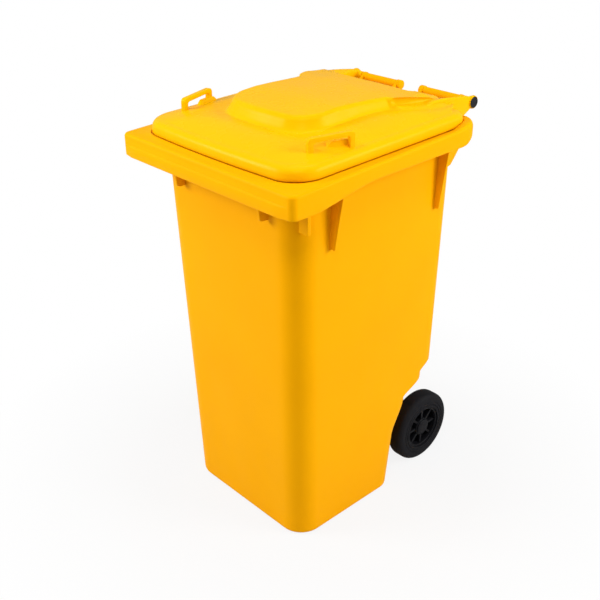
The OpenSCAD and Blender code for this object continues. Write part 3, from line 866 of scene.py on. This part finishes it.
@dataclass
class Gussets:
    """The gussets under the rim and the rib under its right front corner."""

    body: BinBody
    thickness: float = 6
    side_low: float = 786
    # Depth and reach at the top of the two gussets on each side
    sides: tuple[Point2, ...] = ((169, 37), (517, 31))
    front_x: float = 143
    front_low: float = 856
    front_reach: float = 22
    front_round: float = 9
    rib_low: float = 842
    rib_reach: float = 243
    rear_x: float = 207
    skin: Skin = field(default_factory=Skin)

    def top(self, d: float) -> float:
        """Height where a gusset ends, just inside the rim's ledge."""
        return self.body.under((0, d)) + 1.5

    def side_pair(self) -> None:
        """The long gussets on the sides."""
        low, half = self.side_low, self.thickness / 2
        foot, neck = self.body.half_at(low), self.body.half_at(self.body.wall_top)
        for d, reach in self.sides:
            top, toe = self.top(d), foot + 0.42 * reach
            profile = [
                (foot - 2, low - 3), (foot + 2, low - 3), (foot + 6, low + 1), (toe - 4, low - 1),
                (toe, low), (toe + 1.5, low + 10), (neck + reach, self.body.rim.skirt_z((0, d))),
                (neck + reach + 1, top), (neck - 2, top),
            ]
            self.skin.prism(profile, Axis.Y, d - half, d + half)

    def front_pair(self) -> None:
        """The short gussets at the front and the rib under the right corner."""
        body, low, r = self.body, self.front_low, self.front_round
        tip, back, top = body.neck_front - self.front_reach, body.neck_front + 2, self.top(body.neck_front)
        nose = arc_points(tip + r, low + r, r, 270, 180, 6)
        half = (self.thickness + 1) / 2
        blade = [(back, low)] + nose + [(tip - 10, top), (back, top)]
        self.skin.prism(blade, Axis.X, self.front_x - half, self.front_x + half)
        neck, corner = body.half_at(body.wall_top), body.r_front
        rib = arc_points(neck - corner, body.neck_front + corner, corner - 2.5, -29.5, -41, 6)
        rib += [(self.rib_reach, rib[-1][1]), (self.rib_reach, rib[0][1])]
        self.skin.prism(rib, Axis.Z, self.rib_low, self.top(90), sides=(Side.RIGHT,))

    def rear_pair(self) -> None:
        """The fins behind the rear corners."""
        wall, half = self.body.rear_wall, self.thickness / 2
        fin = [(wall - 9, 862), (wall + 12, 868), (wall + 25, 883), (wall + 39, 901),
               (wall + 47, 922), (wall + 47, 944), (wall + 18, 965), (wall - 9, 977)]
        self.skin.prism(fin, Axis.X, self.rear_x - half, self.rear_x + half)

    def build(self) -> None:
        """Builds and registers the gussets."""
        self.side_pair()
        self.front_pair()
        self.rear_pair()
        self.body.finishes.dress(self.skin, "rim_gussets", "bin", "bin_plastic")


@dataclass
class HingeGrips:
    """The two grips on the hinge line with their brackets."""

    body: BinBody
    hinge: Point2
    inner: float = 32
    outer: float = 164.2
    radius: float = 10
    flange: float = 12
    bore: float = 6
    bore_end: float = 81
    brackets: tuple[float, ...] = (38, 154)
    bracket_width: float = 8

    def build(self) -> None:
        """Builds and registers the grips."""
        a, b, r, f = self.inner, self.outer, self.radius, self.flange
        tube = [(a, 0), (a, f - 1.4), (a + 0.5, f - 0.4), (a + 1.6, f), (a + 4.4, f), (a + 6.2, f - 0.8),
                (a + 7.8, r + 0.3), (a + 10, r), (b - 12.2, r), (b - 9.7, r + 0.4), (b - 7.2, r + 1),
                (b - 0.6, r + 1), (b, r + 0.4), (b, self.bore), (self.bore_end, self.bore),
                (self.bore_end, 0)]
        skin = Skin()
        skin.lathe(tube, self.hinge)
        top = self.body.under((0, self.body.rim.rear))
        profile = [(580, 850), (610, 890), (648, 940)] + arc_points(*self.hinge, f, -60, 165, 18)
        profile += [(626, top + 2), (592, top + 1), (580, top - 4)]
        for x in self.brackets:
            skin.prism(profile, Axis.X, x, x + self.bracket_width, 1.6)
        self.body.finishes.dress(skin, "hinge_grips", "bin", "bin_plastic")


@dataclass
class AxleCarriers:
    """The two axle carriers behind the wheel arch."""

    body: BinBody
    axle: Point2
    inner: float = 78
    outer: float = 136
    plate: float = 7
    boss: float = 24
    bore: float = 10
    low: float = 60
    top: float = 236
    shoulder: float = 136

    def build(self) -> None:
        """Builds and registers the carriers."""
        d, z = self.axle
        top, back, rim = self.top, d + self.boss, self.boss - 1
        rear = [(self.body.rear_at(h) - 2, h) for h in (mix(self.low, top, i / 24) for i in range(25))]
        cheek = rear + [(back, self.shoulder)] + arc_points(d, z, self.boss, 0, -110, 14)
        skin = Skin()
        for x in (self.inner, self.outer - self.plate):
            skin.prism(cheek, Axis.X, x, x + self.plate)
        start, near, far = rear[-1][0], self.inner + 1, self.outer - 1
        web = [(start, top - 1), (back - 1, self.shoulder - 1), (back - 1, z + 4), (back - 6, z + 4),
               (back - 6, self.shoulder - 4), (start, top - 6)]
        skin.prism(web, Axis.X, near, far, 0)
        skin.lathe([(near, self.bore), (near, rim), (far, rim), (far, self.bore)], self.axle)
        self.body.finishes.dress(skin, "axle_carriers", "bin", "bin_plastic")


@dataclass
class LidShell:
    """The lid's moulded shell, under and over."""

    shape: LidShape
    finishes: Finishes
    # Distances outside the middle of the panel's slope, from its foot to the middle of its top
    slope: tuple[float, ...] = (24, 20, 17, 14, 12, 10, 8, 6.5, *range(5, -8, -1), -9, -12, -16, -22,
                                -30, -42, -56, -72, -90, -108, -124)
    deck_steps: int = 16

    def build(self) -> None:
        """Builds and registers the shell."""
        s, thick, gap = self.shape, self.shape.thickness, self.shape.gap
        deck = [i / self.deck_steps for i in range(self.deck_steps)]
        rings = [s.panel_ring(grow - thick, thick) for grow in reversed(self.slope)]
        rings += [s.deck_ring(t, thick) for t in reversed(deck)]
        edge = ((16, 24), (11, 21.5), (7, 16), (5, 9), (thick, gap + 1), (thick - 0.8, gap), (0.8, gap),
                (0, gap + 1), (0.3, 9), (0.8, 15), (1.8, 19), (3.6, 22.4), (6.2, 25.3), (9.8, 27.6),
                (14.2, 29.1), (18, 29.7))
        rings += [level(s.plan(inset), s.rim.seat_z, up) for inset, up in edge]
        rings += [s.deck_ring(t) for t in deck]
        rings += [s.panel_ring(grow) for grow in self.slope]
        skin = Skin()
        skin.loft(rings)
        self.finishes.dress(skin, "lid_shell", "lid_panel", "lid_plastic", "lid", sharp=60)


@dataclass
class FingerLoops:
    """The two finger loops near the front of the lid, each with the mound beside it."""

    finishes: Finishes
    spot: Point2 = (206, 122)
    turn: float = 16.7
    width: float = 12
    length: float = 108
    foot: float = 1001
    sink: float = 2.5
    rise: float = 32
    climb: float = 3
    leg: float = 12
    bar: float = 10
    mound_along: Point2 = (38, 117)
    mound_across: Point2 = (-30, -4)
    mound_rise: float = 16

    def _beside(self, across: float, along: float, z: float) -> Vector:
        """A point in the turned frame of the right-hand loop."""
        c, s = math.cos(math.radians(self.turn)), math.sin(math.radians(self.turn))
        return place(self.spot[0] + across * c + along * s, self.spot[1] - across * s + along * c, z)

    def _bow(self) -> list[Point2]:
        """Side view of a loop.

        Returns:
            Distances along the loop and heights.
        """
        n, low, leg, bar = self.length, self.foot - self.sink, self.leg, self.bar
        top, end = self.foot + self.rise, self.foot + self.rise + self.climb
        profile = [(0, low)] + arc_points(9, top - 9, 9, 180, 92, 6)
        profile += arc_points(n - 10, end - 10, 10, 88, 0, 6) + [(n, low), (n - leg, low)]
        profile += arc_points(n - leg - 6, end - bar - 6, 6, 0, 88, 5)
        return profile + arc_points(leg + 6, top - bar - 6, 6, 92, 180, 5) + [(leg, low)]

    def _mound(self) -> list[Ring]:
        """Rings along the mound beside a loop.

        Returns:
            The rings in metres.
        """
        u0, u1 = self.mound_along
        v0, v1 = self.mound_across
        z = self.foot
        rings: list[Ring] = []
        for i in range(29):
            u = mix(u0, u1, i / 28)
            high = self.mound_rise * max(0.04, ease((u - u0) / 24) * ease((u1 - u) / 16))
            across = [mix(v0, v1, k / 20) for k in range(21)]
            ring = [self._beside(v, u, z + 0.5 + high * ease((v - v0) / 17)) for v in across]
            rings.append(ring + [self._beside(v, u, z - 1) for v in (v1, v0)])
        return rings

    def build(self) -> None:
        """Builds and registers the loops."""
        skin = Skin()
        half = self.width / 2
        skin.prism(self._bow(), Axis.X, -half, half, 2.6, 4, frame=self._beside)
        skin.loft(self._mound(), BOTH)
        self.finishes.dress(skin, "lid_loops", "lid_panel", "lid_plastic")


@dataclass
class HingeArms:
    """The two hinge arms of the lid with their eyes."""

    shape: LidShape
    finishes: Finishes
    hinge: Point2
    inner: float = 165
    outer: float = 194
    start: float = 505
    step: float = 603
    deep: float = 628
    end: float = 675.5
    root: float = 1006
    root_fall: float = 6
    step_fall: float = 9
    step_low: float = 991
    belly: float = 966
    belly_rise: float = 20
    crest: float = 1029.5
    crest_fall: float = 13
    inner_fall: float = 12
    thinning: float = 16
    thin_depth: float = 600
    bore: float = 6.1
    collar: float = 11
    flange: float = 16
    recess: float = 14.1

    def _low(self, d: float) -> float:
        """Height of the arm's underside.

        Args:
            d: depth along the arm.

        Returns:
            Height in millimetres.
        """
        rear, step, deep = self.shape.rear, self.step, self.deep
        if d <= step:
            drop = self.step_fall * ramp((d - rear) / (step - rear))
            return self.root - self.root_fall * ramp((d - self.start) / (rear - self.start)) - drop
        if d <= deep:
            return mix(self.step_low, self.belly, ((d - step) / (deep - step)) ** 0.45)
        return mix(self.belly, self.belly + self.belly_rise, ((d - deep) / (self.end - deep)) ** 1.5)

    def _section(self, d: float) -> Ring:
        """One section of the right-hand arm, with rounded corners.

        Args:
            d: depth of the section.

        Returns:
            The ring in metres.
        """
        low, thin = self._low(d), ramp((d - self.thin_depth) / 50)
        outside = self.crest - self.root_fall * (1 - ramp((d - self.start) / 25))
        outside -= self.crest_fall * ramp((d - 575) / 102) ** 1.3
        inside = outside - self.inner_fall * ramp((d - 548) / 50) * (1 - 0.6 * thin)
        inner, outer = self.inner + self.thinning * thin, self.outer
        corners = [Vector(c) for c in ((inner, low), (inner, inside), (outer, outside), (outer, low))]
        ring: Ring = []
        for i, here in enumerate(corners):
            r = 6 if here.y > low + 1 else 2
            a, b = (here + (to - here).normalized() * r for to in (corners[i - 1], corners[(i + 1) % 4]))
            for t in (k / 5 for k in range(6)):
                q = a.lerp(here, t).lerp(here.lerp(b, t), t)
                ring.append(place(q.x, d, q.y))
        return ring

    def build(self) -> None:
        """Builds and registers the arms."""
        depths = [mix(self.start, self.step, i / 14) for i in range(15)]
        depths += [self.step + past for past in (0.2, 0.8, 2, 4, 6.5, 10, 15, 20)]
        depths += [mix(self.deep, self.end, i / 10) for i in range(11)]
        skin = Skin()
        skin.loft([self._section(d) for d in depths], BOTH)
        a, b, c, f = self.inner, self.outer, self.collar, self.flange
        eye = [(a, self.bore), (a, c - 0.6), (a + 0.6, c), (a + 13, c), (a + 15, c + 0.6), (b - 3, f),
               (b - 1, f), (b + 2.6, f - 1), (b + 3, f - 1.4), (b + 3, self.recess), (b, self.recess),
               (b, self.bore)]
        skin.lathe(eye, self.hinge)
        self.finishes.dress(skin, "lid_arms", "lid_panel", "lid_plastic")


@dataclass
class Turned:
    """Makes the pieces that are turned about an axis along X."""

    side: Side
    finishes: Finishes
    centre: Point2

    def piece(self, name: str, work: str, body: str, slot: str, profile: Sequence[Point2], steps: int = 64,
              sharp: float = 38) -> None:
        """Builds and registers one turned piece.

        Args:
            name: the piece's name without its side.
            work: how it is made, which ends its name.
            body: the CAD body it moves with.
            slot: the record's material slot.
            profile: closed list of position along X and radius, for the right-hand side.
            steps: steps round the axis.
            sharp: angle in degrees above which an edge stays sharp.
        """
        skin = Skin()
        node = f"{name}_{self.side.label}"
        skin.lathe(profile, self.centre, steps, (self.side,))
        self.finishes.dress(skin, f"{node}_{work}", body, slot, node, sharp=sharp)


@dataclass
class HingePin(Turned):
    """A black headed pin through a lid eye into a grip."""

    radius: float = 6
    head: float = 13.5
    inner: float = 82
    seat: float = 194.6

    def build(self) -> None:
        """Builds and registers the pin."""
        a, b, r, h = self.inner, self.seat, self.radius, self.head
        profile = [(a, 0), (a, r - 1), (a + 1, r), (b, r), (b, h - 0.9), (b + 0.7, h), (b + 2.8, h),
                   (b + 3.6, h - 0.4), (b + 4, h - 1.3), (b + 4, h - 2.5), (b + 3.4, h - 3.2), (b + 3.4, 0)]
        self.piece("hinge_pin", "moulded", "bin", "pin_plastic", profile)


class SpokeTree:
    """Geometry nodes that set spokes evenly round the axle."""

    INPUTS = {"Count": "Int", "Inner Radius": "Float", "Outer Radius": "Float", "Thickness": "Float",
              "Width": "Float", "Finish": "Material"}

    def __init__(self) -> None:
        """Builds the tree."""
        self.tree = bpy.data.node_groups.new("spoke_ring", "GeometryNodeTree")
        self.ids: dict[str, str] = {}
        for name, kind in self.INPUTS.items():
            socket = self.tree.interface.new_socket(name, in_out="INPUT", socket_type=f"NodeSocket{kind}")
            self.ids[name] = socket.identifier
        self.tree.interface.new_socket("Geometry", in_out="OUTPUT", socket_type="NodeSocketGeometry")
        graph = Graph(self.tree)
        given = graph.node("NodeGroupInput").outputs
        inner, outer, count = given["Inner Radius"], given["Outer Radius"], given["Count"]
        length = graph.maths("SUBTRACT", outer, inner)
        middle = graph.maths("MULTIPLY", graph.maths("ADD", outer, inner), 0.5)
        size = graph.node("ShaderNodeCombineXYZ", {"X": given["Width"], "Y": length, "Z": given["Thickness"]})
        spoke = graph.node("GeometryNodeMeshCube", {"Size": size.outputs[0]})
        offset = graph.node("ShaderNodeCombineXYZ", {"Y": middle})
        move = graph.node("GeometryNodeTransform", {
            "Geometry": spoke.outputs["Mesh"], "Translation": offset.outputs[0]})
        points = graph.node("GeometryNodePoints", {"Count": count})
        share = graph.maths("DIVIDE", graph.node("GeometryNodeInputIndex").outputs[0], count)
        turn = graph.node("ShaderNodeCombineXYZ", {"X": graph.maths("MULTIPLY", share, math.tau)})
        ring = graph.node("GeometryNodeInstanceOnPoints", {
            "Points": points.outputs[0], "Instance": move.outputs[0], "Rotation": turn.outputs[0]})
        real = graph.node("GeometryNodeRealizeInstances", {"Geometry": ring.outputs["Instances"]})
        coat = graph.node("GeometryNodeSetMaterial", {
            "Geometry": real.outputs[0], "Material": given["Finish"]})
        graph.node("NodeGroupOutput", {"Geometry": coat.outputs[0]})

    def mesh(self, finish: Material, count: int, sizes: dict[str, float]) -> bpy.types.Mesh:
        """Evaluates the tree.

        Args:
            finish: material of the spokes.
            count: number of spokes.
            sizes: the other inputs by name, in millimetres.

        Returns:
            A plain mesh about the origin, axle along X.
        """
        holder = add_object("spoke_holder", bpy.data.meshes.new("spoke_holder"))
        modifier = holder.modifiers.new("spokes", "NODES")
        modifier.node_group = self.tree
        values = {"Count": count, "Finish": finish} | {name: size * MM for name, size in sizes.items()}
        for name, value in values.items():
            modifier[self.ids[name]] = value
        graph = bpy.context.evaluated_depsgraph_get()
        mesh = bpy.data.meshes.new_from_object(holder.evaluated_get(graph))
        bpy.data.objects.remove(holder)
        return mesh


@dataclass
class Wheel(Turned):
    """A solid tyred wheel with its hub, bush and cap."""

    spokes: SpokeTree
    inner: float = 146
    outer: float = 196
    radius: float = 100
    shoulder: float = 15
    seat: float = 61
    rim_thickness: float = 6.5
    spoke_count: int = 8
    spoke_thickness: float = 6
    spoke_width: float = 33
    boss: float = 25
    boss_inner: float = 139.6
    boss_outer: float = 190
    bush: float = 14
    bush_end: float = 183
    bush_bore: float = 10.08
    cap: float = 22
    cap_seat: float = 18

    def _tyre(self) -> list[Point2]:
        """Section of the tyre, with round shoulders and shallow side rings.

        Returns:
            Positions along X and radii.
        """
        a, b, r, seat, s = self.inner, self.outer, self.radius, self.seat, self.shoulder
        half: list[Point2] = [(b, seat), (b, seat + 5), (b - 1.4, seat + 6), (b - 1.4, seat + 8),
                              (b, seat + 9), (b, seat + 13), (b - 1.2, seat + 14), (b - 1.2, seat + 16),
                              (b, seat + 17), (b, r - s)]
        half += arc_points(b - s, r - s, s, 6, 84, 10) + [(b - 17, r), (b - 23, r)]
        return half + [(a + b - x, y) for x, y in reversed(half)]

    def _hub(self) -> None:
        """Builds and registers the hub: rim, disc, boss and spokes."""
        skin = Skin()
        a, b, seat = self.inner, self.outer, self.seat
        near, far, r, end = self.boss_inner, self.boss_outer, self.boss, self.bush_end
        low, mid, face = seat - self.rim_thickness, (a + b) / 2, b - 3.6
        rim = [(a + 4, seat), (a + 4, seat - 5), (a + 5, low), (b - 5, low), (face, seat - 5.4),
               (face, seat)]
        disc = [(mid - 3, r - 5), (mid - 3, seat - 5), (mid + 3, seat - 5), (mid + 3, r - 5)]
        boss = [(near, self.bush), (near, r - 1), (near + 1, r), (far - 1.2, r), (far, r - 1.2),
                (far, self.cap_seat), (end, self.cap_seat), (end, self.bush)]
        for profile, steps in ((rim, 96), (disc, 96), (boss, 72)):
            skin.lathe(profile, self.centre, steps, (self.side,))
        sizes = {"Inner Radius": r - 2, "Outer Radius": seat - 5.5, "Thickness": self.spoke_thickness,
                 "Width": self.spoke_width}
        ring = self.spokes.mesh(self.finishes.by_slot["hub_plastic"], self.spoke_count, sizes)
        ring.transform(Matrix.Translation(place(self.side.value * (mid - 0.5), *self.centre)))
        skin.add_mesh(ring)
        node, body = f"hub_{self.side.label}", f"wheel_{self.side.label}"
        self.finishes.dress(skin, f"{node}_moulded", body, "hub_plastic", node, sharp=30)

    def build(self) -> None:
        """Builds and registers the pieces of the wheel."""
        body = f"wheel_{self.side.label}"
        self.piece("tyre", "rubber", body, "tyre_rubber", self._tyre(), 112, 32)
        self._hub()
        bush = sleeve(self.boss_inner, self.bush_end, self.bush_bore, self.bush, 0.6, 0.6)
        self.piece("bush", "turned", body, "bush_nylon", bush)
        end, far, seat, rim = self.bush_end, self.boss_outer, self.cap_seat, self.cap
        dome = [(end + 2, seat - 2), (end + 2, seat), (far, seat), (far, rim - 0.6), (far + 0.6, rim),
                (far + 2.4, rim), (far + 3.4, rim - 1), (far + 4, rim - 3.5), (far + 4.6, rim - 8),
                (far + 4.9, rim - 15), (far + 5, 0), (far + 1, 0), (far + 1, seat - 2)]
        self.piece("cap", "domed", body, "cap_plastic", dome)


@dataclass
class AxleSet:
    """The axle with its washers and retaining clips."""

    finishes: Finishes
    axle: Point2
    half: float = 188
    radius: float = 10
    # Inner face, outer face, radius and rounding of the rings on the axle
    washer: tuple[float, ...] = (136, 139, 18, 0.5)
    clip: tuple[float, ...] = (183.6, 185.6, 15, 0.4)

    def build(self) -> None:
        """Builds and registers the axle, the washers and the clips."""
        skin = Skin()
        skin.lathe(sleeve(-self.half, self.half, 0, self.radius, 1.2, 1.2), self.axle, sides=(Side.RIGHT,))
        self.finishes.dress(skin, "axle_rod", "bin", "axle_steel", "axle")
        for side in Side:
            maker = Turned(side, self.finishes, self.axle)
            for name, (a, b, rim, edge) in (("washer", self.washer), ("clip", self.clip)):
                ring = sleeve(a, b, self.radius, rim, edge, 0.5)
                maker.piece(name, "stamped", "bin", f"{name}_steel", ring)


@dataclass(frozen=True)
class Lamp:
    """One soft area lamp aimed at the bin."""

    name: str
    spot: Point3
    size: float
    power: float
    target: Point3 = (0, 0, 0.55)

    def build(self) -> None:
        """Adds the lamp."""
        data = bpy.data.lights.new(self.name, "AREA")
        data.shape = "DISK"
        data.size = self.size
        data.energy = self.power
        lamp = add_object(self.name, data)
        lamp.location = self.spot
        aim = Vector(self.target) - Vector(self.spot)
        lamp.rotation_euler = aim.to_track_quat("-Z", "Y").to_euler()


@dataclass
class Studio:
    """Pale floor, soft light and the camera of the photograph."""

    lens: float = 53.99
    sensor: float = 36
    spot: Point3 = (1.4618, -1.4295, 1.5757)
    azimuth: float = 46.732
    elevation: float = 27.520
    glow: float = 0.29
    floor_reach: float = 12
    floor_colour: Colour = (0.62, 0.62, 0.62)
    floor_white: float = 0.86
    # Distances from the middle, in metres, between which the floor goes white
    floor_fade: Point2 = (0.45, 1)
    lamps: list[Lamp] = field(default_factory=lambda: [
        Lamp("key_left", (-1.9, -2.6, 2.2), 1.8, 100),
        Lamp("fill_right", (2.75, 1.55, 2), 1.8, 91),
        Lamp("top_soft", (0, 0.2, 3.4), 2.2, 18),
        Lamp("front_soft", (1.3, -1.35, 3), 0.9, 23),
    ])

    def world(self) -> None:
        """White surroundings that show white and light the bin gently."""
        world = bpy.data.worlds.new("studio_white")
        bpy.context.scene.world = world
        world.use_nodes = True
        world.node_tree.nodes.clear()
        graph = Graph(world.node_tree)
        path = graph.node("ShaderNodeLightPath").outputs
        seen = graph.maths("MAXIMUM", path["Is Camera Ray"], path["Is Transmission Ray"])
        light, white = (graph.node("ShaderNodeBackground", {"Color": WHITE, "Strength": s})
                        for s in (self.glow, 1))
        graph.node("ShaderNodeOutputWorld", {"Surface": graph.pick(seen, light, white)})

    def floor(self) -> None:
        """A wide pale floor that shows whiter away from the bin."""
        mesh, r = bpy.data.meshes.new("studio_floor"), self.floor_reach
        mesh.from_pydata([(-r, -r, 0), (r, -r, 0), (r, r, 0), (-r, r, 0)], [], [(0, 1, 2, 3)])
        material, graph, shader, where = start_material("floor_white")
        graph.feed(shader, {"Base Color": (*self.floor_colour, 1), "Roughness": 0.9})
        away = graph.node("ShaderNodeVectorMath", {0: where}, operation="LENGTH").outputs["Value"]
        path = graph.node("ShaderNodeLightPath").outputs
        share = graph.spread(away, self.floor_white, 1, *self.floor_fade)
        seen = graph.maths("MULTIPLY", share, path["Is Camera Ray"])
        bright = graph.node("ShaderNodeEmission", {"Strength": 1})
        graph.feed(graph.tree.nodes["Material Output"], {"Surface": graph.pick(seen, shader, bright)})
        mesh.materials.append(material)
        add_object("studio_floor", mesh)

    def camera(self) -> None:
        """The camera at the photograph's view."""
        data = bpy.data.cameras.new("photo_camera")
        data.lens = self.lens
        data.sensor_width = self.sensor
        camera = add_object("photo_camera", data)
        camera.location = self.spot
        camera.rotation_euler = (math.radians(90 - self.elevation), 0, math.radians(self.azimuth))
        bpy.context.scene.camera = camera

    def build(self) -> None:
        """Builds the studio."""
        bpy.context.scene.view_settings.view_transform = "Standard"
        self.world()
        self.floor()
        for lamp in self.lamps:
            lamp.build()
        self.camera()


def joint_axis(frame: dict[str, Any], name: str) -> Point2:
    """Depth and height of a joint's axis, in millimetres.

    Args:
        frame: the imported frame.
        name: the joint's name.

    Returns:
        Millimetres behind the front lip and above the floor.
    """
    spot = next(joint["pos_m"] for joint in frame["joints"] if joint["name"] == name)
    return round(spot[1] / MM + MIDDLE, 3), round(spot[2] / MM, 3)


def main() -> None:
    """Builds the bin and its studio in order."""
    logging.basicConfig(level=logging.INFO, format="%(message)s")
    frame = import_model()
    hinge, axle = joint_axis(frame, "lid_hinge"), joint_axis(frame, "wheel_right_spin")
    finishes, rim, spokes = Finishes(), Rim(), SpokeTree()
    shape = LidShape(rim)
    body = BinBody(rim, shape, finishes)
    parts: list[Any] = [body, Gussets(body), HingeGrips(body, hinge), AxleCarriers(body, axle)]
    parts += [LidShell(shape, finishes), FingerLoops(finishes), HingeArms(shape, finishes, hinge)]
    for side in Side:
        parts += [HingePin(side, finishes, hinge), Wheel(side, finishes, axle, spokes)]
    parts += [AxleSet(finishes, axle), Studio()]
    for part in parts:
        part.build()


if __name__ == "__main__":
    main()
